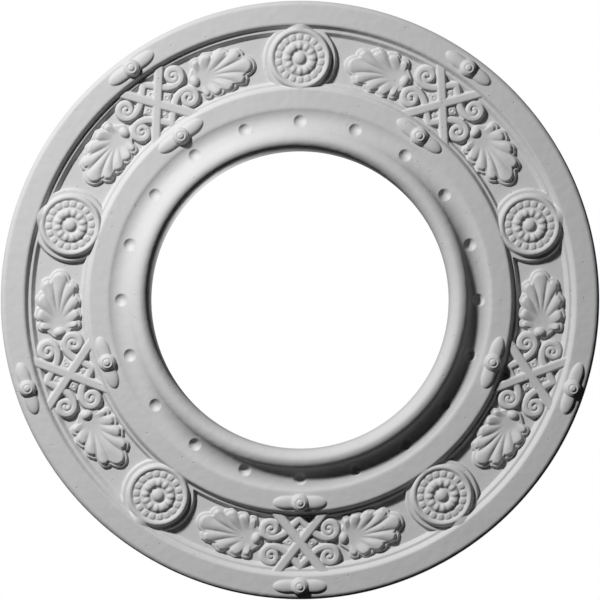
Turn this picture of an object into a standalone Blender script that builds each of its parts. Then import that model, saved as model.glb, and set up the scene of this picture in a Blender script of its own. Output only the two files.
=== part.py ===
# Round ceiling rose with a clear centre hole, cast in one piece with its ornament.
# Every form is a height above the ceiling plane, as in a mould without undercuts.
# The casting is turned over at the end, so that it hangs face down from the plane z = 0.

import math

import bmesh
import bpy
import numpy as np
from mathutils import Matrix

# Whole ring, in metres
OUTER_DIAMETER = 0.2032
OPENING_DIAMETER = 0.1017

# Lip around the opening and the cove behind it
LIP_HEIGHT = 0.0159
LIP_INNER_WIDTH = 0.0034
LIP_INNER_DROP = 0.0058
LIP_OUTER_WIDTH = 0.0030
LIP_OUTER_DROP = 0.0020
COVE_HEIGHT = 0.0108
COVE_RISE_WIDTH = 0.0048
COVE_BACK_WIDTH = 0.0026
CREASE_WIDTH = 0.0012
CREASE_DROP = 0.00022

# Two flat rims, and the two steps that lead down to the field between them
RIM_HEIGHT = 0.01165
INNER_RIM_WIDTH = 0.0071
OUTER_RIM_WIDTH = 0.0082
OUTER_EDGE_ROUND = 0.0018
FILLET_HEIGHT = 0.00965
FIELD_HEIGHT = 0.0079
INNER_WALL_WIDTH = 0.00115
INNER_FILLET_WIDTH = 0.00075
INNER_STEP_WIDTH = 0.00085
OUTER_WALL_WIDTH = 0.00105
OUTER_FILLET_WIDTH = 0.00105
OUTER_STEP_WIDTH = 0.0012

# Bends of the profile: how far each one turns, and the straight pieces it is made of
LIP_BEND = math.radians(90)
FOOT_BEND = math.radians(60)
BACK_BEND = math.radians(30)
EDGE_BEND = math.radians(90)
LIP_PIECES = 16
FOOT_PIECES = 8
BACK_PIECES = 6
CREASE_PIECES = 3
EDGE_PIECES = 8

# Round dimples on the rising side of the cove
DIMPLE_COUNT = 20
DIMPLE_RADIUS = 0.00215
DIMPLE_DEPTH = 0.0012
DIMPLE_SHIFT = 0.0014

# Rosettes and palmette panels take turns around the ring
PANEL_COUNT = 5

# Rosette: a dished disc on a low round ledge, with bridges to both rims, a boss, a ring of joined
# beads and a circle of square ones
ROSETTE_HEIGHT = 0.0116
ROSETTE_SHIFT = 0.00035
ROSETTE_RADIUS = 0.01075
ROSETTE_WALL_WIDTH = 0.0006
ROSETTE_RING_WIDTH = 0.0014
BRIDGE_WIDTH = 0.0064
BRIDGE_DROP = 0.0018
DISH_DEPTH = 0.0007
DISH_SLOPE_WIDTH = 0.0005
LEDGE_WIDTH = 0.00135
LEDGE_STEP_WIDTH = 0.00045
BOSS_RADIUS = 0.00205
BOSS_RISE = 0.00125
BEAD_RING_HALF_WIDTH = 0.0014
BEAD_RING_RISE = 0.00075
INNER_BEAD_COUNT = 12
INNER_BEAD_CIRCLE = 0.00435
INNER_BEAD_WIDTH = 0.0023
INNER_BEAD_LENGTH = 0.0029
INNER_BEAD_RISE = 0.00115
OUTER_BEAD_COUNT = 18
OUTER_BEAD_CIRCLE = 0.00735
OUTER_BEAD_SIDE = 0.00215
OUTER_BEAD_RISE = 0.00042
OUTER_BEAD_SQUARENESS = 3

# Lattice: two crossed bars over two chevron straps, with square pads in the corners
BAR_WIDTH = 0.0035
BAR_RISE = 0.00225
BAR_ANGLE = math.radians(51.5)
STRAP_WIDTH = 0.0029
STRAP_RISE = 0.00195
CHEVRON_REACH = 0.0081
CHEVRON_CORNER = 0.35
PAD_HALF_SIDE = 0.00175
PAD_RISE = 0.00145
PAD_OFFSET = 0.00375

# Volutes that end the straps: the coil's turn in degrees, its radius and its half width
VOLUTE_SIDE = 0.00975
VOLUTE_SPLIT = 0.0045
COIL_TURNS = (0, 90, 180, 270, 360, 450, 540)
COIL_RADII = (0.0031, 0.0028, 0.0023, 0.0017, 0.0014, 0.0009, 0.0004)
COIL_HALF_WIDTHS = (0.0012, 0.00135, 0.0014, 0.0011, 0.0010, 0.0009, 0.00085)
STRAIGHT_POINTS = 9
CORNER_POINTS = 7
COIL_POINTS = 60

# Palmettes: a knob, and behind it a shell of lobes on a skirt with a scalloped edge
PALMETTE_ANGLE = math.radians(17.9)
KNOB_PLACE = -0.01085
KNOB_WIDTH = 0.0037
KNOB_LENGTH = 0.0046
KNOB_RISE = 0.0024
SHELL_ROOT = -0.0081
SHELL_TILT = math.radians(1.7)
LOBES_EACH_SIDE = 4
SCALLOP_DEPTH = 0.0015
SCALLOP_POWER = 3
SKIRT_HEIGHT = 0.00115
SKIRT_WIDTH = 0.0011
SKIRT_DRAFT = 0.00035
DISH_RISE = 0.00095
LOBE_RISE = 0.0012
LOBE_START = 0.0020
LOBE_SWELL = 0.55
LOBE_CURVE_POWER = 1.5
LOBE_END = 0.0014
LOBE_END_POWER = 3
LOBE_NOTCH = 0.0006
LOBE_FULL_REACH = 0.010
GROOVE_SHARE = 0.6
GROOVE_POWER = 2.2

# Shell outline, from the tip round to the knob: the notch between each pair of lobes in degrees,
# at the edge and at the root, and the reach of each lobe
NOTCH_PHASES = (0, 0.5, 1.5, 2.5, 3.5, 4.5, 5.5)
EDGE_TURNS = (0, 13, 28, 49, 80, 112, 180)
ROOT_TURNS = (0, 6, 16, 40, 84, 128, 180)
LOBE_REACHES = (0.0188, 0.0159, 0.0120, 0.0090, 0.0076, 0.0056, 0.0034)

# Rim ornaments: a turned button, as radius and height above the rim, between two olives
OUTER_BUTTON_INSET = 0.0045
BUTTON_BASE = 0.00305
BUTTON_PROFILE = ((0, 0.00275), (0.0003, 0.00295), (0.0008, 0.00285), (0.00115, 0.0024),
                  (0.00135, 0.0023), (0.0016, 0.0025), (0.0019, 0.0024), (0.0022, 0.00195),
                  (0.00255, 0.00185), (0.0028, 0.0013), (0.00295, 0))
OLIVE_WIDEST = 0.0046
OLIVE_END = 0.0091
OLIVE_HALF_WIDTH = 0.0022
OLIVE_RISE = 0.0012
OLIVE_BLUNTNESS = 2.2
OLIVE_FULLNESS = 0.5

# How square the forms are in section: 2 is round, and a higher number is flatter on top
ROUND = 2
STRAP_SQUARENESS = 3.5
SQUARE = 6
OUTSIDE = -1.0
SMALLEST = 1e-9

# Fineness of the form before and after its faces are thinned out
TURN_STEPS = 1440
KEPT_TURN_STEP = 20
RADIAL_STEP = 0.00035
FACE_TARGET = 9900
KEEP_FORCE = 1.0
SHARP_ANGLE = math.radians(30)

# Radii that follow from the widths, from the opening outwards
OPENING_RADIUS = OPENING_DIAMETER / 2
OUTER_RADIUS = OUTER_DIAMETER / 2
CREST_RADIUS = OPENING_RADIUS + LIP_INNER_WIDTH
LIP_FOOT_RADIUS = CREST_RADIUS + LIP_OUTER_WIDTH
VALLEY_RADIUS = LIP_FOOT_RADIUS + COVE_RISE_WIDTH
CREASE_RADIUS = VALLEY_RADIUS + COVE_BACK_WIDTH
INNER_EDGE_RADIUS = CREASE_RADIUS + INNER_RIM_WIDTH
INNER_FILLET_RADIUS = INNER_EDGE_RADIUS + INNER_WALL_WIDTH
INNER_STEP_RADIUS = INNER_FILLET_RADIUS + INNER_FILLET_WIDTH
FIELD_INNER_RADIUS = INNER_STEP_RADIUS + INNER_STEP_WIDTH
ROUND_START_RADIUS = OUTER_RADIUS - OUTER_EDGE_ROUND
OUTER_EDGE_RADIUS = OUTER_RADIUS - OUTER_RIM_WIDTH
OUTER_FILLET_RADIUS = OUTER_EDGE_RADIUS - OUTER_WALL_WIDTH
OUTER_STEP_RADIUS = OUTER_FILLET_RADIUS - OUTER_FILLET_WIDTH
FIELD_OUTER_RADIUS = OUTER_STEP_RADIUS - OUTER_STEP_WIDTH
FIELD_RADIUS = (FIELD_INNER_RADIUS + FIELD_OUTER_RADIUS) / 2
ROSETTE_CIRCLE_RADIUS = FIELD_RADIUS - ROSETTE_SHIFT
INNER_BUTTON_RADIUS = (CREASE_RADIUS + CREASE_WIDTH + INNER_EDGE_RADIUS) / 2
OUTER_BUTTON_RADIUS = OUTER_RADIUS - OUTER_BUTTON_INSET
PANEL_ANGLE = 2 * math.pi / PANEL_COUNT


def arc(start, end, turn, steps):
    """Points of a bend that leaves the start level and turns steeper towards the end."""
    points = []
    for step in range(steps + 1):
        bend = turn * step / steps
        across = math.sin(bend) / math.sin(turn)
        along = (1 - math.cos(bend)) / (1 - math.cos(turn))
        x = start[0] + (end[0] - start[0]) * across
        y = start[1] + (end[1] - start[1]) * along
        points.append((x, y))
    return points


def ring_profile():
    """Radius and height of the plain ring, from the opening to the outer edge."""
    crest = (CREST_RADIUS, LIP_HEIGHT)
    lip_edge = (OPENING_RADIUS, LIP_HEIGHT - LIP_INNER_DROP)
    lip_foot = (LIP_FOOT_RADIUS, LIP_HEIGHT - LIP_OUTER_DROP)
    valley = (VALLEY_RADIUS, COVE_HEIGHT)
    crease = (CREASE_RADIUS, RIM_HEIGHT - CREASE_DROP)
    crease_end = (CREASE_RADIUS + CREASE_WIDTH, RIM_HEIGHT)
    round_start = (ROUND_START_RADIUS, RIM_HEIGHT)
    round_end = (OUTER_RADIUS, RIM_HEIGHT - OUTER_EDGE_ROUND)
    profile = list(reversed(arc(crest, lip_edge, LIP_BEND, LIP_PIECES)))
    profile += arc(crest, lip_foot, FOOT_BEND, FOOT_PIECES)[1:]
    profile += reversed(arc(valley, lip_foot, FOOT_BEND, FOOT_PIECES)[:-1])
    profile += arc(valley, crease, BACK_BEND, BACK_PIECES)[1:]
    profile += reversed(arc(crease_end, crease, BACK_BEND, CREASE_PIECES)[:-1])
    profile += [(INNER_EDGE_RADIUS, RIM_HEIGHT), (INNER_FILLET_RADIUS, FILLET_HEIGHT)]
    profile += [(INNER_STEP_RADIUS, FILLET_HEIGHT), (FIELD_INNER_RADIUS, FIELD_HEIGHT)]
    profile += [(FIELD_OUTER_RADIUS, FIELD_HEIGHT), (OUTER_STEP_RADIUS, FILLET_HEIGHT)]
    profile += [(OUTER_FILLET_RADIUS, FILLET_HEIGHT), (OUTER_EDGE_RADIUS, RIM_HEIGHT)]
    profile += arc(round_start, round_end, EDGE_BEND, EDGE_PIECES)
    return profile


def along_profile(distance, profile):
    """Height of a turned profile at each distance from its axis."""
    return np.interp(distance, [point[0] for point in profile], [point[1] for point in profile])


def cushion(share, rise, squareness):
    """Height of a form whose edge lies where the share is one, and far below outside it."""
    share = np.clip(share, 0, 1)
    return np.where(share < 1, rise * np.sqrt(1 - share ** squareness), OUTSIDE)


def eased(share):
    """Share that leaves nothing and reaches one without a corner."""
    share = np.clip(share, 0, 1)
    return share * share * (3 - 2 * share)


def local(radius, turn, place_turn, place_radius):
    """Clockwise and outward distances from a place on the ring."""
    x = radius * np.sin(turn - place_turn)
    y = radius * np.cos(turn - place_turn) - place_radius
    return x, y


def bead_circle(x, y, count, circle, width, length, rise, squareness):
    """Beads set evenly around a circle, with their length towards its middle."""
    step = 2 * math.pi / count
    turn = np.arctan2(x, y)
    turn -= step * np.round(turn / step)
    distance = np.hypot(x, y)
    across = distance * np.sin(turn) / (width / 2)
    along = (distance * np.cos(turn) - circle) / (length / 2)
    share = (np.abs(across) ** squareness + np.abs(along) ** squareness) ** (1 / squareness)
    return cushion(share, rise, squareness)


def rosette(x, y):
    """Disc from rim to rim, its ledge, its dish and the beads in it."""
    top = ROSETTE_RADIUS - ROSETTE_WALL_WIDTH
    ring = top - ROSETTE_RING_WIDTH
    floor = ROSETTE_HEIGHT - DISH_DEPTH
    ledge = ROSETTE_RADIUS + LEDGE_WIDTH
    profile = [(0, floor), (ring - DISH_SLOPE_WIDTH, floor), (ring, ROSETTE_HEIGHT)]
    profile += [(top, ROSETTE_HEIGHT), (ROSETTE_RADIUS, FILLET_HEIGHT), (ledge, FILLET_HEIGHT)]
    profile += [(ledge + LEDGE_STEP_WIDTH, FIELD_HEIGHT)]
    distance = np.hypot(x, y)
    bridge = ROSETTE_HEIGHT - BRIDGE_DROP * (2 * x / BRIDGE_WIDTH) ** 2
    height = np.maximum(along_profile(distance, profile), np.where(distance > ring, bridge, OUTSIDE))
    off_ring = np.abs(distance - INNER_BEAD_CIRCLE)
    inner = (INNER_BEAD_COUNT, INNER_BEAD_CIRCLE, INNER_BEAD_WIDTH, INNER_BEAD_LENGTH)
    outer = (OUTER_BEAD_COUNT, OUTER_BEAD_CIRCLE, OUTER_BEAD_SIDE, OUTER_BEAD_SIDE)
    forms = [
        cushion(distance / BOSS_RADIUS, BOSS_RISE, ROUND),
        cushion(off_ring / BEAD_RING_HALF_WIDTH, BEAD_RING_RISE, ROUND),
        bead_circle(x, y, *inner, INNER_BEAD_RISE, ROUND),
        bead_circle(x, y, *outer, OUTER_BEAD_RISE, OUTER_BEAD_SQUARENESS),
    ]
    for form in forms:
        height = np.maximum(height, floor + form)
    return height


def strap_route():
    """Points and half widths of half a chevron strap, from its apex to the eye of its volute."""
    apex = np.array((0, CHEVRON_REACH))
    centre = np.array((VOLUTE_SIDE, VOLUTE_SPLIT))
    touch = centre - (0, COIL_RADII[0])
    corner = np.array((apex[1] - touch[1], touch[1]))
    before = corner + (apex - corner) * CHEVRON_CORNER
    route = []
    for share in np.linspace(0, 1, STRAIGHT_POINTS, endpoint=False):
        route.append((*(apex + (before - apex) * share), STRAP_WIDTH / 2))
    for share in np.linspace(0, 1, CORNER_POINTS, endpoint=False):
        first = before + (corner - before) * share
        second = corner + (touch - corner) * share
        route.append((*(first + (second - first) * share), STRAP_WIDTH / 2))
    for turn in np.linspace(0, COIL_TURNS[-1], COIL_POINTS):
        radius = np.interp(turn, COIL_TURNS, COIL_RADII)
        half_width = np.interp(turn, COIL_TURNS, COIL_HALF_WIDTHS)
        angle = math.radians(turn)
        route.append((centre[0] + radius * math.sin(angle), centre[1] - radius * math.cos(angle), half_width))
    return route


def strap(x, y):
    """Height of a chevron strap and its volute."""
    nearest = np.ones(x.shape)
    route = strap_route()
    for (x0, y0, start), (x1, y1, end) in zip(route[:-1], route[1:]):
        run = (x1 - x0, y1 - y0)
        share = ((x - x0) * run[0] + (y - y0) * run[1]) / (run[0] ** 2 + run[1] ** 2)
        share = np.clip(share, 0, 1)
        distance = np.hypot(x - x0 - share * run[0], y - y0 - share * run[1])
        nearest = np.minimum(nearest, distance / (start + (end - start) * share))
    return cushion(nearest, STRAP_RISE, STRAP_SQUARENESS)


def pad(x, y):
    """Square pad that stands on its corner."""
    edge = np.maximum(np.abs(x + y), np.abs(x - y)) / math.sqrt(2)
    return cushion(edge / PAD_HALF_SIDE, PAD_RISE, SQUARE)


def lattice(x, y):
    """Crossed bars over straps with volutes, and the pads between the bars."""
    side = np.abs(x)
    level = np.abs(y)
    across = np.abs(side * math.sin(BAR_ANGLE) - level * math.cos(BAR_ANGLE))
    height = np.maximum(strap(side, level), cushion(2 * across / BAR_WIDTH, BAR_RISE, SQUARE))
    pads = np.maximum(pad(side - PAD_OFFSET, y), pad(x, level - PAD_OFFSET))
    return FIELD_HEIGHT + np.maximum(height, pads)


def off_lobe(phase):
    """How far across its lobe a point lies, from nothing on the ridge to one in the valley."""
    return np.abs(np.clip(2 * (phase - np.minimum(np.round(phase), LOBES_EACH_SIDE)), -1, 1))


def palmette(x, y):
    """Knob at the root and the shell behind it, with x along the ring towards the tip."""
    knob = np.hypot((x - KNOB_PLACE) / (KNOB_WIDTH / 2), y / (KNOB_LENGTH / 2))
    ahead = (x - SHELL_ROOT) * math.cos(SHELL_TILT) - y * math.sin(SHELL_TILT)
    aside = (x - SHELL_ROOT) * math.sin(SHELL_TILT) + y * math.cos(SHELL_TILT)
    reach = np.hypot(ahead, aside)
    turn = np.degrees(np.abs(np.arctan2(aside, ahead)))
    phase = np.interp(turn, EDGE_TURNS, NOTCH_PHASES)
    whole = np.floor(phase)
    edge = np.interp(whole + eased(phase - whole), np.arange(len(LOBE_REACHES)), LOBE_REACHES)
    share = np.clip(reach / edge, 0, 1)
    fade = np.clip(NOTCH_PHASES[-1] - phase, 0, 1)
    inside = edge - SCALLOP_DEPTH * fade * off_lobe(phase) ** SCALLOP_POWER - reach
    bent = share ** LOBE_CURVE_POWER
    off = off_lobe(bent * phase + (1 - bent) * np.interp(turn, ROOT_TURNS, NOTCH_PHASES))
    end = 1 - np.clip((inside - SKIRT_WIDTH - LOBE_NOTCH * fade * off ** 2) / LOBE_END, 0, 1)
    swell = eased((reach - LOBE_START) / (LOBE_SWELL * edge)) * (1 - end ** LOBE_END_POWER)
    top = DISH_RISE + (SKIRT_HEIGHT - DISH_RISE) * share
    rise = LOBE_RISE * np.minimum(edge / LOBE_FULL_REACH, 1)
    top = top + rise * swell * (1 - GROOVE_SHARE * off ** GROOVE_POWER)
    shell = np.where(inside > 0, np.clip(inside / SKIRT_DRAFT, 0, 1) * top, OUTSIDE)
    return FIELD_HEIGHT + np.maximum(cushion(knob, KNOB_RISE, ROUND), shell)


def rim_ornament(x, y):
    """Turned button with a knob, between two pointed olives."""
    button = along_profile(np.hypot(x, y), (*BUTTON_PROFILE, (BUTTON_BASE, OUTSIDE)))
    along = np.abs(x) - OLIVE_WIDEST
    along = along / np.where(along < 0, OLIVE_END, OLIVE_END - OLIVE_WIDEST)
    taper = np.clip(1 - along ** 2, 0, 1)
    across = np.abs(y) / (OLIVE_HALF_WIDTH * taper ** OLIVE_FULLNESS + SMALLEST)
    olive = cushion(across, OLIVE_RISE, OLIVE_BLUNTNESS)
    olive = np.where(olive > 0, olive * np.sqrt(taper), OUTSIDE)
    return RIM_HEIGHT + np.maximum(button, olive)


def relief(radius, turn):
    """Height of the cast face at each point, with the turn taken clockwise."""
    height = along_profile(radius, ring_profile())
    step = 2 * math.pi / DIMPLE_COUNT
    near = turn - step * np.round(turn / step)
    x, y = local(radius, near, 0, VALLEY_RADIUS - DIMPLE_SHIFT)
    share = np.clip(np.hypot(x, y) / DIMPLE_RADIUS, 0, 1)
    height = height - DIMPLE_DEPTH * (1 - share ** 2)
    panel = np.abs((turn % PANEL_ANGLE) - PANEL_ANGLE / 2)
    band = (radius > INNER_EDGE_RADIUS) & (radius < OUTER_EDGE_RADIUS)
    ornament = rosette(*local(radius, panel, PANEL_ANGLE / 2, ROSETTE_CIRCLE_RADIUS))
    ornament = np.maximum(ornament, lattice(*local(radius, panel, 0, FIELD_RADIUS)))
    shell = palmette(FIELD_RADIUS * (panel - PALMETTE_ANGLE), radius - FIELD_RADIUS)
    ornament = np.maximum(ornament, shell)
    height = np.where(band, np.maximum(height, ornament), height)
    for middle in (INNER_BUTTON_RADIUS, OUTER_BUTTON_RADIUS):
        height = np.maximum(height, rim_ornament(*local(radius, panel, 0, middle)))
    return height


def ring_edges():
    """Radii of the circles that the eye follows round the ring."""
    edges = [OPENING_RADIUS, CREASE_RADIUS, INNER_EDGE_RADIUS]
    return edges + [OUTER_EDGE_RADIUS, ROUND_START_RADIUS, OUTER_RADIUS]


def ring_radii():
    """Radii of the rows of points, with a row on each edge of the profile."""
    edges = sorted({point[0] for point in ring_profile()})
    radii = [edges[0]]
    for start, end in zip(edges[:-1], edges[1:]):
        pieces = math.ceil((end - start) / RADIAL_STEP)
        radii += [start + (end - start) * piece / pieces for piece in range(1, pieces + 1)]
    return np.array(radii)


def casting():
    """Closed ring: the modelled face, the two upright edges and the flat back."""
    radii = ring_radii()
    turns = np.arange(TURN_STEPS) * 2 * math.pi / TURN_STEPS
    radius, turn = np.meshgrid(radii, turns, indexing="ij")
    height = relief(radius, turn)
    radius = np.vstack([radius, radius[-1:], radius[:1]])
    turn = np.vstack([turn, turn[-1:], turn[:1]])
    height = np.vstack([height, np.zeros((2, TURN_STEPS))])
    points = np.stack([radius * np.sin(turn), radius * np.cos(turn), height], axis=-1)
    rows = len(radius)
    number = np.arange(rows * TURN_STEPS).reshape(rows, TURN_STEPS)
    next_row = np.roll(number, -1, axis=0)
    corners = (number, next_row, np.roll(next_row, -1, axis=1), np.roll(number, -1, axis=1))
    faces = np.stack(corners, axis=-1).reshape(-1, 4)
    mesh = bpy.data.meshes.new("ceiling_rose")
    mesh.from_pydata(points.reshape(-1, 3).tolist(), [], faces.tolist())
    work = bmesh.new()
    work.from_mesh(mesh)
    bmesh.ops.transform(work, matrix=Matrix.Rotation(math.pi, 4, "X"), verts=work.verts)
    bmesh.ops.recalc_face_normals(work, faces=work.faces)
    work.to_mesh(mesh)
    work.free()
    rose = bpy.data.objects.new("ceiling_rose", mesh)
    bpy.context.collection.objects.link(rose)
    kept_rows = [row for row in range(rows) if np.isclose(radius[row, 0], ring_edges()).any()]
    kept = number[kept_rows][:, ::KEPT_TURN_STEP].ravel()
    thin_out(rose, np.setdiff1d(number, kept), FACE_TARGET / (2 * len(faces)))
    return rose


def thin_out(rose, loose, ratio):
    """Fewer faces where the form is plain, with the rest of the points held in place."""
    group = rose.vertex_groups.new(name="loose")
    group.add(loose.tolist(), 1.0, "REPLACE")
    thinner = rose.modifiers.new("thin out faces", "DECIMATE")
    thinner.vertex_group = group.name
    thinner.vertex_group_factor = KEEP_FORCE
    thinner.ratio = ratio
    rose.data.shade_smooth()
    rose.data.set_sharp_from_angle(angle=SHARP_ANGLE)


def cast_white():
    """Matt off-white moulded material."""
    material = bpy.data.materials.new("moulded_white")
    material.use_nodes = True
    shader = material.node_tree.nodes["Principled BSDF"]
    shader.inputs["Base Color"].default_value = (0.76, 0.76, 0.75, 1)
    shader.inputs["Roughness"].default_value = 0.7
    shader.inputs["Metallic"].default_value = 0
    return material


for leftover in list(bpy.data.objects):
    bpy.data.objects.remove(leftover)

rose = casting()
rose.data.materials.append(cast_white())
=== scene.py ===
import math

import bpy
import numpy as np
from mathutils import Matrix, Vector


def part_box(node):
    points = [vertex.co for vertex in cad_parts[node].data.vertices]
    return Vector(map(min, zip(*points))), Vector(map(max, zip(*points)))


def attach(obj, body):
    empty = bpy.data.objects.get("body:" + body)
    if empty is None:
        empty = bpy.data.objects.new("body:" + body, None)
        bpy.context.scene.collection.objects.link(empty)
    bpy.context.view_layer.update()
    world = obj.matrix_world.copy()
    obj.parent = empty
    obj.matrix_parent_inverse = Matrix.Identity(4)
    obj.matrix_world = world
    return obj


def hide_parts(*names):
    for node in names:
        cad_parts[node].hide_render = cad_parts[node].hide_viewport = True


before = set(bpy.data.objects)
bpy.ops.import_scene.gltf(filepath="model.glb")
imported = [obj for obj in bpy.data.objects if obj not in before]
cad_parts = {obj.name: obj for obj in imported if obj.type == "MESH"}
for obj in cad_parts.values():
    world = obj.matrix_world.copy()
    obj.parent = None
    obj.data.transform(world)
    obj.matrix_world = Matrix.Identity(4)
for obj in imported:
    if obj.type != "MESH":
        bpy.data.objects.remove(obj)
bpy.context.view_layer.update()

# The plain ring
# A ceiling rose is a ring moulded in one piece of rigid foam in a carved mould, so every form on
# it is a height above the ceiling that it is glued to. This section has the turned shape alone:
# a rounded lip at the opening, a cove, and two flat rims with a sunk field between them.
MM = 0.001
low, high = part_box("ceiling_rose")
OUTER_RADIUS = (high.x - low.x) / 2
LIP_HEIGHT = high.z - low.z
OPENING_RADIUS = 50.85 * MM
CREST_RADIUS = OPENING_RADIUS + 3.4 * MM
LIP_INNER_DROP = 5.8 * MM
LIP_FOOT_RADIUS = CREST_RADIUS + 2.95 * MM
LIP_OUTER_DROP = 2.0 * MM
VALLEY_RADIUS = LIP_FOOT_RADIUS + 4.8 * MM
COVE_HEIGHT = 10.8 * MM
CREASE_RADIUS = VALLEY_RADIUS + 2.6 * MM
CREASE_WIDTH = 1.2 * MM
CREASE_DROP = 0.22 * MM
RIM_HEIGHT = 11.65 * MM
INNER_EDGE_RADIUS = CREASE_RADIUS + 7.2 * MM
OUTER_EDGE_RADIUS = OUTER_RADIUS - 8.2 * MM
OUTER_EDGE_ROUND = 1.8 * MM
ROUND_START_RADIUS = OUTER_RADIUS - OUTER_EDGE_ROUND
FILLET_HEIGHT = 9.65 * MM
FIELD_HEIGHT = 7.9 * MM
INNER_STEPS = (1.15 * MM, 0.75 * MM, 0.85 * MM)
INNER_SOFT = 0.7 * MM
OUTER_STEPS = (1.05 * MM, 1.05 * MM, 1.2 * MM)
OUTER_SOFT = 0.75 * MM
LIP_BEND = math.radians(90)
FOOT_BEND = math.radians(60)
BACK_BEND = math.radians(30)
WALL_BEND = math.radians(70)
EDGE_BEND = math.radians(90)
BEND_PIECES = 24
LIP_PIECES = 48
WALL_PIECES = 8


def bend(start, end, turn, pieces=BEND_PIECES):
    """Points of a curve that leaves the start level and turns steeper towards the end."""
    turns = np.linspace(0, turn, pieces + 1)
    across = start[0] + (end[0] - start[0]) * np.sin(turns) / math.sin(turn)
    along = start[1] + (end[1] - start[1]) * (1 - np.cos(turns)) / (1 - math.cos(turn))
    return list(zip(across, along))


def stairs(edge, widths, soft, way):
    """Wall, fillet and step that lead down from a rim's edge to the field, with softened edges."""
    foot = edge + way * widths[0]
    ledge = foot + way * widths[1]
    field = ledge + way * widths[2]
    rim_end = (edge - way * soft, RIM_HEIGHT)
    points = bend(rim_end, (edge + way * soft / 2, RIM_HEIGHT - soft), WALL_BEND, WALL_PIECES)
    points += [(foot, FILLET_HEIGHT), (ledge, FILLET_HEIGHT), (field, FIELD_HEIGHT)]
    return points


crest = (CREST_RADIUS, LIP_HEIGHT)
lip_foot = (LIP_FOOT_RADIUS, LIP_HEIGHT - LIP_OUTER_DROP)
valley = (VALLEY_RADIUS, COVE_HEIGHT)
crease = (CREASE_RADIUS, RIM_HEIGHT - CREASE_DROP)
ring_profile = bend(crest, (OPENING_RADIUS, LIP_HEIGHT - LIP_INNER_DROP), LIP_BEND, LIP_PIECES)[::-1]
ring_profile += bend(crest, lip_foot, FOOT_BEND)[1:]
ring_profile += bend(valley, lip_foot, FOOT_BEND)[::-1][1:]
ring_profile += bend(valley, crease, BACK_BEND)[1:]
ring_profile += bend((CREASE_RADIUS + CREASE_WIDTH, RIM_HEIGHT), crease, BACK_BEND)[::-1][1:]
ring_profile += stairs(INNER_EDGE_RADIUS, INNER_STEPS, INNER_SOFT, 1)
ring_profile += stairs(OUTER_EDGE_RADIUS, OUTER_STEPS, OUTER_SOFT, -1)[::-1]
outer_edge = (OUTER_RADIUS, RIM_HEIGHT - OUTER_EDGE_ROUND)
ring_profile += bend((ROUND_START_RADIUS, RIM_HEIGHT), outer_edge, EDGE_BEND)


def along_profile(distance, profile):
    """Height of a turned profile at each distance from its axis."""
    return np.interp(distance, [point[0] for point in profile], [point[1] for point in profile])


# The dimples
# Twenty round dimples are pressed into the rising side of the cove, one every eighteen degrees.
DIMPLE_COUNT = 20
DIMPLE_RADIUS = 2.15 * MM
DIMPLE_DEPTH = 1.2 * MM
DIMPLE_SHIFT = 1.4 * MM


def local(radius, turn, place_turn, place_radius):
    """Clockwise and outward distances from a place on the ring."""
    x = radius * np.sin(turn - place_turn)
    y = radius * np.cos(turn - place_turn) - place_radius
    return x, y


def dimples(radius, turn):
    """How far the cove is pressed in at each point."""
    step = 2 * math.pi / DIMPLE_COUNT
    x, y = local(radius, turn - step * np.round(turn / step), 0, VALLEY_RADIUS - DIMPLE_SHIFT)
    share = np.clip(np.hypot(x, y) / DIMPLE_RADIUS, 0, 1)
    return DIMPLE_DEPTH * (1 - share ** 2)


# The rosettes
# Five dished discs stand on low round ledges between the rims. In each dish lie a circle of low
# beads, a ring of prominent ones that touch, and a boss.
BAND_RADIUS = 82.3 * MM
ROSETTE_HEIGHT = 11.6 * MM
ROSETTE_CIRCLE = 81.95 * MM
ROSETTE_TOP = 10.15 * MM
ROSETTE_FOOT = 10.75 * MM
ROSETTE_LEDGE = 12.1 * MM
ROSETTE_STEP = 12.55 * MM
BRIDGE_HALF_WIDTH = 4.3 * MM
BRIDGE_DROP = 1.8 * MM
DISH_RADIUS = 8.75 * MM
DISH_DEPTH = 0.7 * MM
DISH_TOE = 0.3 * MM
DISH_SHOULDER = 0.2 * MM
EDGE_SHOULDER = 0.3 * MM
SHOULDER_DROP = 0.05 * MM
EDGE_SPREAD = 0.1 * MM
EDGE_DROP = 0.4 * MM
BOSS_RADIUS = 2.05 * MM
BOSS_RISE = 1.25 * MM
BEAD_RING = 4.35 * MM
BEAD_RING_HALF_WIDTH = 1.4 * MM
BEAD_RING_RISE = 0.75 * MM
INNER_BEADS = 12
INNER_BEAD_WIDTH = 2.3 * MM
INNER_BEAD_LENGTH = 2.9 * MM
INNER_BEAD_RISE = 1.15 * MM
OUTER_BEADS = 18
OUTER_BEAD_CIRCLE = 7.35 * MM
OUTER_BEAD_SIDE = 2.15 * MM
OUTER_BEAD_RISE = 0.42 * MM
ROUND = 2
BEAD_SQUARENESS = 3
OUTSIDE = -1


def cushion(share, rise, squareness=ROUND):
    """Height of a form whose edge lies where the share is one, and far below outside it."""
    share = np.clip(share, 0, 1)
    return np.where(share < 1, rise * np.sqrt(1 - share ** squareness), OUTSIDE)


def bead_circle(x, y, count, circle, width, length, rise, squareness):
    """Beads set evenly around a circle, the squarer ones flatter and with straighter sides."""
    step = 2 * math.pi / count
    turn = np.arctan2(x, y)
    turn -= step * np.round(turn / step)
    distance = np.hypot(x, y)
    aside = distance * np.sin(turn) / (width / 2)
    along = (distance * np.cos(turn) - circle) / (length / 2)
    share = (np.abs(aside) ** squareness + np.abs(along) ** squareness) ** (1 / squareness)
    return cushion(share, rise, squareness)


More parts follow.
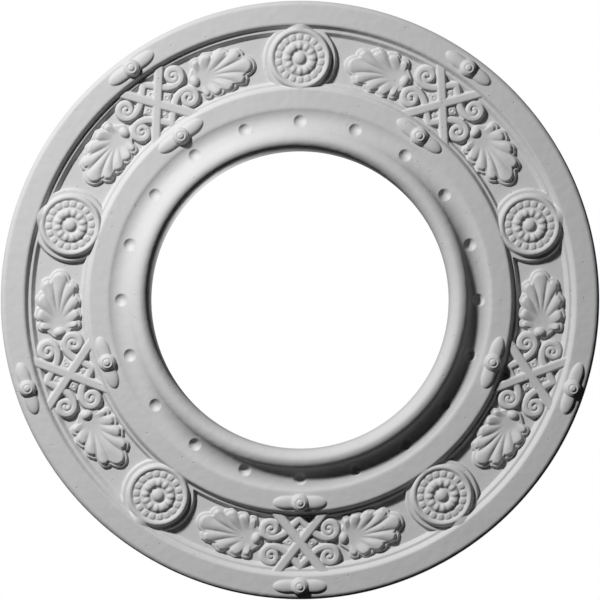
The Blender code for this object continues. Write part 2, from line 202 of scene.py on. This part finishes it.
def rosette(x, y):
    """Disc from rim to rim, its ledge, its dish and the beads in it."""
    floor = ROSETTE_HEIGHT - DISH_DEPTH
    ring = (DISH_RADIUS + ROSETTE_TOP) / 2
    profile = [(0, floor), (DISH_RADIUS - DISH_TOE, floor)]
    profile += [(DISH_RADIUS + DISH_SHOULDER, ROSETTE_HEIGHT - DISH_SHOULDER), (ring, ROSETTE_HEIGHT)]
    profile += [(ROSETTE_TOP - EDGE_SHOULDER, ROSETTE_HEIGHT - SHOULDER_DROP)]
    profile += [(ROSETTE_TOP + EDGE_SPREAD, ROSETTE_HEIGHT - EDGE_DROP)]
    profile += [(ROSETTE_FOOT, FILLET_HEIGHT), (ROSETTE_LEDGE, FILLET_HEIGHT)]
    profile += [(ROSETTE_STEP, FIELD_HEIGHT)]
    distance = np.hypot(x, y)
    bridge = ROSETTE_HEIGHT - BRIDGE_DROP * (x / BRIDGE_HALF_WIDTH) ** 2
    height = np.maximum(along_profile(distance, profile), np.where(distance > ring, bridge, OUTSIDE))
    inner = (INNER_BEADS, BEAD_RING, INNER_BEAD_WIDTH, INNER_BEAD_LENGTH, INNER_BEAD_RISE, ROUND)
    outer = (OUTER_BEADS, OUTER_BEAD_CIRCLE, OUTER_BEAD_SIDE, OUTER_BEAD_SIDE, OUTER_BEAD_RISE)
    forms = [
        cushion(distance / BOSS_RADIUS, BOSS_RISE),
        cushion(np.abs(distance - BEAD_RING) / BEAD_RING_HALF_WIDTH, BEAD_RING_RISE),
        bead_circle(x, y, *inner),
        bead_circle(x, y, *outer, BEAD_SQUARENESS),
    ]
    for form in forms:
        height = np.maximum(height, floor + form)
    return height


# The lattices
# Two crossed bars lie over two chevron straps, whose ends curl into tight volutes. A square pad
# with a ringed rivet fills each corner between the bars.
BAR_WIDTH = 3.5 * MM
BAR_RISE = 2.25 * MM
BAR_ANGLE = math.radians(51.5)
BAR_SQUARENESS = 6
STRAP_RISE = 1.95 * MM
STRAP_SQUARENESS = 3.5
CHEVRON_HALF_WIDTH = 1.45 * MM
CHEVRON_REACH = 8.1 * MM
CHEVRON_CORNER = 0.35
PAD_HALF_SIDE = 1.75 * MM
PAD_RISE = 1.45 * MM
PAD_OFFSET = 3.75 * MM
RIVET_RADIUS = 1.2 * MM
RIVET_GROOVE = 0.25 * MM
PIT_RADIUS = 0.35 * MM
PIT_DEPTH = 0.45 * MM
VOLUTE_SIDE = 9.75 * MM
VOLUTE_SPLIT = 4.5 * MM
COIL_TURNS = (0, 90, 180, 270, 360, 450, 540)
COIL_RADII = (9.0, 8.3, 6.9, 5.1, 4.1, 2.7, 1.2)
COIL_HALF_WIDTHS = (3.6, 4.0, 4.1, 3.2, 2.9, 2.6, 2.5)
COIL_UNIT = 0.34 * MM
STRAIGHT_POINTS = 9
CORNER_POINTS = 7
COIL_POINTS = 80


def strap_route():
    """Points and half widths of half a chevron strap, from its apex to the eye of its volute."""
    apex = np.array((0, CHEVRON_REACH))
    centre = np.array((VOLUTE_SIDE, VOLUTE_SPLIT))
    touch = centre - (0, COIL_RADII[0] * COIL_UNIT)
    corner = np.array((apex[1] - touch[1], touch[1]))
    before = corner + (apex - corner) * CHEVRON_CORNER
    route = []
    for share in np.linspace(0, 1, STRAIGHT_POINTS, endpoint=False):
        route.append((*(apex + (before - apex) * share), CHEVRON_HALF_WIDTH))
    for share in np.linspace(0, 1, CORNER_POINTS, endpoint=False):
        first = before + (corner - before) * share
        second = corner + (touch - corner) * share
        route.append((*(first + (second - first) * share), CHEVRON_HALF_WIDTH))
    for turn in np.linspace(0, COIL_TURNS[-1], COIL_POINTS):
        radius = COIL_UNIT * np.interp(turn, COIL_TURNS, COIL_RADII)
        half_width = COIL_UNIT * np.interp(turn, COIL_TURNS, COIL_HALF_WIDTHS)
        angle = math.radians(turn)
        point = centre + radius * np.array((math.sin(angle), -math.cos(angle)))
        route.append((*point, half_width))
    return route


def strap(x, y):
    """Height of a chevron strap and its volute, as a band with a flat top and rounded edges."""
    nearest = np.ones(x.shape)
    route = strap_route()
    for (x0, y0, start), (x1, y1, end) in zip(route[:-1], route[1:]):
        run = (x1 - x0, y1 - y0)
        share = ((x - x0) * run[0] + (y - y0) * run[1]) / (run[0] ** 2 + run[1] ** 2)
        share = np.clip(share, 0, 1)
        distance = np.hypot(x - x0 - share * run[0], y - y0 - share * run[1])
        nearest = np.minimum(nearest, distance / (start + (end - start) * share))
    return cushion(nearest, STRAP_RISE, STRAP_SQUARENESS)


def pad(x, y):
    """Square pad on its corner, with a ring and a pit in the middle of its top."""
    edge = np.maximum(np.abs(x + y), np.abs(x - y)) / math.sqrt(2)
    distance = np.hypot(x, y)
    groove = RIVET_GROOVE * np.exp(-((distance - RIVET_RADIUS) / RIVET_GROOVE) ** 2)
    pit = PIT_DEPTH * np.exp(-(distance / PIT_RADIUS) ** 2)
    return cushion(edge / PAD_HALF_SIDE, PAD_RISE, BAR_SQUARENESS) - groove - pit


def lattice(x, y):
    """Crossed bars over straps with volutes, and the pads between the bars."""
    side = np.abs(x)
    level = np.abs(y)
    across = np.abs(side * math.sin(BAR_ANGLE) - level * math.cos(BAR_ANGLE))
    bars = cushion(2 * across / BAR_WIDTH, BAR_RISE, BAR_SQUARENESS)
    pads = np.maximum(pad(side - PAD_OFFSET, y), pad(x, level - PAD_OFFSET))
    return FIELD_HEIGHT + np.maximum(np.maximum(strap(side, level), bars), pads)


# The palmettes
# A palmette lies on each side of every lattice: a shell with nine lobes that rise out of a
# smooth dish, swell and curl over at a scalloped edge, and a knob at its root.
PALMETTE_ANGLE = math.radians(17.9)
KNOB_PLACE = -10.85 * MM
KNOB_WIDTH = 3.7 * MM
KNOB_LENGTH = 4.6 * MM
KNOB_RISE = 2.4 * MM
SHELL_ROOT = -8.1 * MM
SHELL_TILT = math.radians(1.7)
NOTCH_PHASES = (0, 0.5, 1.5, 2.5, 3.5, 4.5, 5.5)
NOTCH_TURNS = (0, 13, 28, 49, 80, 112, 180)
ROOT_TURNS = (0, 6, 16, 40, 84, 128, 180)
LOBE_REACHES = (18.8, 15.9, 12.0, 9.0, 7.6, 5.6, 3.4)
LOBES_EACH_SIDE = 4
SCALLOP_DEPTH = 1.5 * MM
SKIRT_HEIGHT = 1.15 * MM
SKIRT_WIDTH = 1.1 * MM
SKIRT_DRAFT = 0.35 * MM
DISH_HEIGHT = 0.95 * MM
LOBE_RISE = 1.2 * MM
LOBE_START = 2.0 * MM
LOBE_SWELL = 0.55
LOBE_END = 1.4 * MM
LOBE_NOTCH = 0.6 * MM
FULL_REACH = 10 * MM
GROOVE_SHARE = 0.6
CURVE_POWER = 1.5
GROOVE_POWER = 2.2
STEEP = 3


def eased(share):
    """Share that leaves nothing and reaches one without a corner."""
    share = np.clip(share, 0, 1)
    return share * share * (3 - 2 * share)


def off_lobe(phase):
    """How far across its lobe a point lies, from nothing on the ridge to one in the valley."""
    return np.abs(np.clip(2 * (phase - np.minimum(np.round(phase), LOBES_EACH_SIDE)), -1, 1))


def palmette(x, y):
    """Knob at the root and the shell behind it, with x along the ring towards the tip."""
    knob = cushion(np.hypot((x - KNOB_PLACE) / (KNOB_WIDTH / 2), y / (KNOB_LENGTH / 2)), KNOB_RISE)
    ahead = (x - SHELL_ROOT) * math.cos(SHELL_TILT) - y * math.sin(SHELL_TILT)
    aside = (x - SHELL_ROOT) * math.sin(SHELL_TILT) + y * math.cos(SHELL_TILT)
    reach = np.hypot(ahead, aside)
    turn = np.degrees(np.abs(np.arctan2(aside, ahead)))
    phase = np.interp(turn, NOTCH_TURNS, NOTCH_PHASES)
    whole = np.floor(phase)
    edge = np.interp(whole + eased(phase - whole), np.arange(len(LOBE_REACHES)), LOBE_REACHES) * MM
    share = np.clip(reach / edge, 0, 1)
    fade = np.clip(NOTCH_PHASES[-1] - phase, 0, 1)
    inside = edge - SCALLOP_DEPTH * fade * off_lobe(phase) ** STEEP - reach
    bent = share ** CURVE_POWER
    off = off_lobe(bent * phase + (1 - bent) * np.interp(turn, ROOT_TURNS, NOTCH_PHASES))
    end = 1 - np.clip((inside - SKIRT_WIDTH - LOBE_NOTCH * fade * off ** 2) / LOBE_END, 0, 1)
    swell = eased((reach - LOBE_START) / (LOBE_SWELL * edge)) * (1 - end ** STEEP)
    top = DISH_HEIGHT + (SKIRT_HEIGHT - DISH_HEIGHT) * share
    rise = LOBE_RISE * np.minimum(edge / FULL_REACH, 1)
    top = top + rise * swell * (1 - GROOVE_SHARE * off ** GROOVE_POWER)
    shell = np.where(inside > 0, np.clip(inside / SKIRT_DRAFT, 0, 1) * top, OUTSIDE)
    return FIELD_HEIGHT + np.maximum(knob, shell)


# The rim ornaments
# A tall turned button with a knob stands between two long pointed olives on both rims, in line
# with every lattice.
BUTTON_PROFILE = (
    (0, 2.75), (0.3, 2.95), (0.8, 2.85), (1.15, 2.4), (1.35, 2.3), (1.6, 2.5),
    (1.9, 2.4), (2.2, 1.95), (2.55, 1.85), (2.8, 1.3), (2.95, 0), (3.05, -20),
)
OLIVE_WIDEST = 4.6 * MM
OLIVE_END = 9.1 * MM
OLIVE_HALF_WIDTH = 2.2 * MM
OLIVE_RISE = 1.2 * MM
OLIVE_MEET = 2.2
OLIVE_BLUNTNESS = 2.2
BUTTON_CIRCLES = (68.7 * MM, 97.1 * MM)
SMALLEST = 1e-9


def rim_ornament(x, y):
    """Turned button with a knob, between two pointed olives."""
    button = along_profile(np.hypot(x, y) / MM, BUTTON_PROFILE) * MM
    along = (np.abs(x) - OLIVE_WIDEST) / (OLIVE_END - OLIVE_WIDEST)
    along = np.where(along < 0, along / OLIVE_MEET, along)
    taper = np.sqrt(np.clip(1 - along ** 2, 0, 1))
    olive = cushion(np.abs(y) / (OLIVE_HALF_WIDTH * taper + SMALLEST), OLIVE_RISE, OLIVE_BLUNTNESS)
    olive = np.where(olive > 0, olive * taper, OUTSIDE)
    return RIM_HEIGHT + np.maximum(button, olive)


# The casting
# The mould repeats every tenth of a turn, mirrored from a lattice to a rosette. One such tenth is
# modelled finely, thinned out where it is plain, and repeated round the ring, as the carver's
# master pattern was.
PANEL_COUNT = 5
PANEL_ANGLE = 2 * math.pi / PANEL_COUNT
GRID_STEP = 0.11 * MM
FACE_TARGET = 198000
SOFTENING = 3
INSET = 0.2
FACE_DOWN = 0.02
AGREEMENT = 0.5


def relief(radius, panel):
    """Height of the cast face at each point, with the turn taken from the nearest lattice."""
    height = along_profile(radius, ring_profile) - dimples(radius, panel + PANEL_ANGLE / 2)
    ornament = rosette(*local(radius, panel, PANEL_ANGLE / 2, ROSETTE_CIRCLE))
    ornament = np.maximum(ornament, lattice(*local(radius, panel, 0, BAND_RADIUS)))
    shell = palmette(BAND_RADIUS * (panel - PALMETTE_ANGLE), radius - BAND_RADIUS)
    ornament = np.maximum(ornament, shell)
    band = (radius > INNER_EDGE_RADIUS - INNER_SOFT) & (radius < OUTER_EDGE_RADIUS)
    height = np.where(band, np.maximum(height, ornament), height)
    for middle in BUTTON_CIRCLES:
        height = np.maximum(height, rim_ornament(*local(radius, panel, 0, middle)))
    return height


def softened(height):
    """The same heights with every edge eased a little, as foam leaves a mould."""
    for _ in range(SOFTENING):
        wide = np.pad(height, ((0, 0), (1, 1)), mode="reflect")
        height = (wide[:, :-2] + 2 * wide[:, 1:-1] + wide[:, 2:]) / 4
        height[2:-2] = (height[1:-3] + 2 * height[2:-2] + height[3:-1]) / 4
    return height


def tenth():
    """One tenth of the ring as thinned-out triangles, and a normal for each of their corners."""
    edges = np.unique([point[0] for point in ring_profile])
    radii = [edges[:1]]
    for start, end in zip(edges[:-1], edges[1:]):
        radii.append(np.linspace(start, end, math.ceil((end - start) / GRID_STEP) + 1)[1:])
    radii = np.concatenate(radii)
    turns = np.linspace(0, PANEL_ANGLE / 2, math.ceil(BAND_RADIUS * PANEL_ANGLE / 2 / GRID_STEP) + 1)
    radius, turn = np.meshgrid(radii, turns, indexing="ij")
    height = softened(relief(radius, turn))
    slopes = (np.gradient(height, radii, axis=0), np.gradient(height, turns, axis=1) / radius)
    slopes[1][:, [0, -1]] = 0
    radius = np.vstack([radius, radius[-1:], radius[:1]])
    turn = np.vstack([turn, turn[-1:], turn[:1]])
    height = np.vstack([height, np.zeros((2, len(turns)))])
    points = np.stack([radius * np.sin(turn), radius * np.cos(turn), height], axis=-1)
    number = np.arange(radius.size).reshape(radius.shape)
    ahead = np.roll(number, -1, axis=0)
    corners = np.stack([number[:, :-1], number[:, 1:], ahead[:, 1:], ahead[:, :-1]], axis=-1)
    points, faces = thinned(points.reshape(-1, 3), corners.reshape(-1, 4))
    return points, faces, corner_normals(points, faces, radii, turns, slopes)


def thinned(points, faces):
    """The same form with fewer faces where it is plain."""
    mesh = bpy.data.meshes.new("tenth")
    mesh.from_pydata(points, [], faces)
    rough = bpy.data.objects.new("tenth", mesh)
    bpy.context.collection.objects.link(rough)
    thinner = rough.modifiers.new("thin out faces", "DECIMATE")
    thinner.ratio = FACE_TARGET / (2 * PANEL_COUNT) / (2 * len(faces))
    thinner.use_collapse_triangulate = True
    fewer = rough.evaluated_get(bpy.context.evaluated_depsgraph_get()).to_mesh()
    points = np.empty((len(fewer.vertices), 3))
    fewer.vertices.foreach_get("co", points.ravel())
    faces = np.empty((len(fewer.polygons), 3), dtype=int)
    fewer.polygons.foreach_get("vertices", faces.ravel())
    bpy.data.objects.remove(rough)
    points[:, 2] = np.clip(points[:, 2], 0, LIP_HEIGHT)
    points[:, :2] *= np.minimum(1, OUTER_RADIUS / np.hypot(points[:, 0], points[:, 1]))[:, None]
    return points, faces


def corner_normals(points, faces, radii, turns, slopes):
    """Normals read from the fine form just inside each corner, so that its edges stay crisp."""
    corners = points[faces]
    flat = np.cross(corners[:, 1] - corners[:, 0], corners[:, 2] - corners[:, 0])
    flat /= np.linalg.norm(flat, axis=1, keepdims=True)
    inside = corners + INSET * (corners.mean(axis=1, keepdims=True) - corners)
    turn = np.arctan2(inside[..., 0], inside[..., 1])
    row = np.interp(np.hypot(inside[..., 0], inside[..., 1]), radii, np.arange(len(radii)))
    column = np.interp(turn, turns, np.arange(len(turns)))
    row0 = np.minimum(row.astype(int), len(radii) - 2)
    column0 = np.minimum(column.astype(int), len(turns) - 2)
    row -= row0
    column -= column0
    outward, aside = [
        (slope[row0, column0] * (1 - row) + slope[row0 + 1, column0] * row) * (1 - column)
        + (slope[row0, column0 + 1] * (1 - row) + slope[row0 + 1, column0 + 1] * row) * column
        for slope in slopes
    ]
    sine = np.sin(turn)
    cosine = np.cos(turn)
    across = -outward * sine - aside * cosine
    along = -outward * cosine + aside * sine
    normals = np.stack([across, along, np.ones_like(turn)], axis=-1)
    normals /= np.linalg.norm(normals, axis=-1, keepdims=True)
    agree = np.einsum("fcx,fx->fc", normals, flat)
    cast = (flat[:, 2] > FACE_DOWN)[:, None] & (agree > AGREEMENT)
    return np.where(cast[..., None], normals, flat[:, None, :])


def open_edges(faces):
    """Edges with a face on one side only."""
    edges = np.concatenate([faces[:, [0, 1]], faces[:, [1, 2]], faces[:, [2, 0]]])
    edges, uses = np.unique(np.sort(edges, axis=1), axis=0, return_counts=True)
    return edges[uses == 1]


def whole_ring(points, faces, normals):
    """Ten copies of the tenth, mirrored in turn and joined along the lines where they meet."""
    seam = np.unique(open_edges(faces))
    turn = np.arctan2(points[seam, 0], points[seam, 1])
    radius = np.hypot(points[seam, 0], points[seam, 1])
    at_rosette = turn > PANEL_ANGLE / 4
    points[seam, 0] = np.where(at_rosette, radius * math.sin(PANEL_ANGLE / 2), 0)
    points[seam, 1] = np.where(at_rosette, radius * math.cos(PANEL_ANGLE / 2), radius)
    parts = []
    for copy in range(2 * PANEL_COUNT):
        side = 1 - 2 * (copy % 2)
        angle = (copy // 2 + 0.5) * PANEL_ANGLE
        sine = math.sin(angle)
        cosine = math.cos(angle)
        place = np.array([[side * cosine, side * sine, 0], [sine, -cosine, 0], [0, 0, -1]])
        number = np.arange(len(points)) + copy * len(points)
        if side < 0:
            number[seam[~at_rosette]] -= len(points)
            number[seam[at_rosette]] = seam[at_rosette] + ((copy - 3) % (2 * PANEL_COUNT)) * len(points)
        parts.append((points @ place, number[faces][:, ::side], (normals @ place)[:, ::side]))
    all_points, all_faces, all_normals = [np.concatenate(group) for group in zip(*parts)]
    used, all_faces = np.unique(all_faces, return_inverse=True)
    return all_points[used], all_faces.reshape(-1, 3), all_normals


points, faces, normals = whole_ring(*tenth())
mesh = bpy.data.meshes.new("ceiling_rose_relief")
mesh.from_pydata(points, [], faces)
mesh.shade_smooth()
mesh.normals_split_custom_set(normals.reshape(-1, 3))
rose = bpy.data.objects.new("ceiling_rose_relief", mesh)
bpy.context.collection.objects.link(rose)

# The finish
# Rigid polyurethane foam with its moulded skin, primed white and not yet painted: matt, with a
# very fine tooth and here and there a pinhole where a bubble reached the mould.


def linear(code):
    """Linear colour of an sRGB hex code."""
    levels = [int(code[place:place + 2], 16) / 255 for place in (1, 3, 5)]
    dark = [level / 12.92 for level in levels]
    light = [((level + 0.055) / 1.055) ** 2.4 for level in levels]
    return [light[at] if levels[at] > 0.04045 else dark[at] for at in range(3)] + [1.0]


def node(tree, kind, links=(), **settings):
    """Adds a node with its settings, and links the named inputs to other nodes' outputs."""
    made = tree.nodes.new(kind)
    for name, value in settings.items():
        if name in made.inputs:
            made.inputs[name].default_value = value
        else:
            setattr(made, name, value)
    for name, source in links:
        tree.links.new(source, made.inputs[name])
    return made


CLOUD_SIZE = 12 * MM
WAVE_SIZE = 3.0 * MM
WAVE_DEPTH = 0.12 * MM
TOOTH_SIZE = 0.5 * MM
TOOTH_DEPTH = 0.012 * MM
PINHOLE_SPACING = 4.0 * MM
PINHOLE_RADIUS = 0.3 * MM
PINHOLE_SHARE = 0.12
PINHOLE_DEPTH = 0.12 * MM
SHADED_SKIN = "#BCBCBC"
BRIGHT_SKIN = "#C3C3C3"

primed = bpy.data.materials.new("primed_polyurethane")
primed.use_nodes = True
tree = primed.node_tree
shader = tree.nodes["Principled BSDF"]
place = node(tree, "ShaderNodeTexCoord").outputs["Object"]
clouds = node(tree, "ShaderNodeTexNoise", [("Vector", place)], Scale=1 / CLOUD_SIZE, Detail=3.0)
tone = node(tree, "ShaderNodeMix", [("Factor", clouds.outputs["Fac"])], data_type="RGBA")
tone.inputs["A"].default_value = linear(SHADED_SKIN)
tone.inputs["B"].default_value = linear(BRIGHT_SKIN)
tree.links.new(tone.outputs["Result"], shader.inputs["Base Color"])
tooth = node(tree, "ShaderNodeTexNoise", [("Vector", place)], Scale=1 / TOOTH_SIZE, Detail=2.0)
waves = node(tree, "ShaderNodeTexNoise", [("Vector", place)], Scale=1 / WAVE_SIZE, Detail=1.0)
cells = node(tree, "ShaderNodeTexVoronoi", [("Vector", place)], voronoi_dimensions="2D")
cells.inputs["Scale"].default_value = 1 / PINHOLE_SPACING
spot = node(tree, "ShaderNodeMapRange", [("Value", cells.outputs["Distance"])])
spot.inputs["From Min"].default_value = PINHOLE_RADIUS / PINHOLE_SPACING / 2
spot.inputs["From Max"].default_value = PINHOLE_RADIUS / PINHOLE_SPACING
chance = node(tree, "ShaderNodeSeparateColor", [("Color", cells.outputs["Color"])])
closed = node(tree, "ShaderNodeMath", [(0, chance.outputs["Red"])], operation="GREATER_THAN")
closed.inputs[1].default_value = PINHOLE_SHARE
skin = node(
    tree, "ShaderNodeMath", [(0, spot.outputs["Result"]), (1, closed.outputs[0])], operation="MAXIMUM"
)
uneven = node(
    tree, "ShaderNodeBump", [("Height", waves.outputs["Fac"])], Strength=1.0, Distance=WAVE_DEPTH
)
pitted = node(
    tree, "ShaderNodeBump", [("Height", skin.outputs[0]), ("Normal", uneven.outputs["Normal"])],
    Strength=1.0, Distance=PINHOLE_DEPTH,
)
rough = node(
    tree, "ShaderNodeBump", [("Height", tooth.outputs["Fac"]), ("Normal", pitted.outputs["Normal"])],
    Strength=1.0, Distance=TOOTH_DEPTH,
)
tree.links.new(rough.outputs["Normal"], shader.inputs["Normal"])
shader.inputs["Roughness"].default_value = 0.6
shader.inputs["Diffuse Roughness"].default_value = 0.2
shader.inputs["IOR"].default_value = 1.5
shader.inputs["Specular IOR Level"].default_value = 0.25
mesh.materials.append(primed)
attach(rose, "root")
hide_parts("ceiling_rose")

# The room
# The rose hangs face down. One small soft light stands to the upper left of it as it is seen from
# below, and a larger one behind it lights the back. The floor lies below, under the camera.
FLOOR_DROP = 2.4
FLOOR_SIZE = 1.0
FLOOR_ROUGHNESS = 0.8
LIGHT_TURN = math.radians(318)
LIGHT_ASIDE = 0.46
LIGHT_HEIGHT = -0.375
LIGHT_SIZE = 0.068
LIGHT_SPREAD = math.radians(124)
LIGHT_POWER = 3.0
LIGHT_AIM = (0.45, 0.735, 0)
BACK_ASIDE = -1.5
BACK_HEIGHT = 2.6
BACK_SIZE = 0.8
BACK_SPREAD = math.radians(180)
BACK_POWER = 60
BACK_AIM = (0, 0, 0)
SURROUND = 0.006


def soft_light(name, aside, height, size, spread, power, aim):
    """Round soft light at a distance beside the rose and a height above its back."""
    light = bpy.data.objects.new(name, bpy.data.lights.new(name, "AREA"))
    bpy.context.collection.objects.link(light)
    light.data.shape = "DISK"
    light.data.size = size
    light.data.energy = power
    light.data.spread = spread
    light.location = (aside * math.sin(LIGHT_TURN), -aside * math.cos(LIGHT_TURN), height)
    light.rotation_euler = (Vector(aim) - light.location).to_track_quat("-Z", "Y").to_euler()


soft_light("softbox", LIGHT_ASIDE, LIGHT_HEIGHT, LIGHT_SIZE, LIGHT_SPREAD, LIGHT_POWER, LIGHT_AIM)
soft_light("back_softbox", BACK_ASIDE, BACK_HEIGHT, BACK_SIZE, BACK_SPREAD, BACK_POWER, BACK_AIM)

bpy.ops.mesh.primitive_plane_add(size=FLOOR_SIZE, location=(0, 0, -FLOOR_DROP))
floor = bpy.context.object
floor.name = "floor"
pale = bpy.data.materials.new("pale_floor")
pale.use_nodes = True
pale.node_tree.nodes["Principled BSDF"].inputs["Base Color"].default_value = linear("#E6E6E4")
pale.node_tree.nodes["Principled BSDF"].inputs["Roughness"].default_value = FLOOR_ROUGHNESS
floor.data.materials.append(pale)

world = bpy.data.worlds.new("white_surround")
bpy.context.scene.world = world
world.use_nodes = True
tree = world.node_tree
surround = tree.nodes["Background"]
glow = node(tree, "ShaderNodeBackground", Color=(1, 1, 1, 1), Strength=1.0)
surround.inputs["Color"].default_value = (1, 1, 1, 1)
surround.inputs["Strength"].default_value = SURROUND
seen = node(tree, "ShaderNodeLightPath").outputs["Is Camera Ray"]
mixed = node(tree, "ShaderNodeMixShader", [("Fac", seen), (1, surround.outputs[0]), (2, glow.outputs[0])])
tree.links.new(mixed.outputs[0], tree.nodes["World Output"].inputs["Surface"])

# The camera
# A long lens straight below the rose, as far away as a photographer stands, with the ring filling
# the square frame.
CAMERA_DISTANCE = 1.2
FRAME_WIDTH = 203.7 * MM
SENSOR = 36.0
camera = bpy.data.objects.new("camera", bpy.data.cameras.new("camera"))
bpy.context.collection.objects.link(camera)
camera.location = (0, 0, -CAMERA_DISTANCE)
camera.rotation_euler = (math.pi, 0, 0)
camera.data.sensor_width = SENSOR
edge_distance = CAMERA_DISTANCE - (RIM_HEIGHT - OUTER_EDGE_ROUND)
camera.data.lens = SENSOR * edge_distance / FRAME_WIDTH
bpy.context.scene.camera = camera
bpy.context.scene.view_settings.view_transform = "Standard"
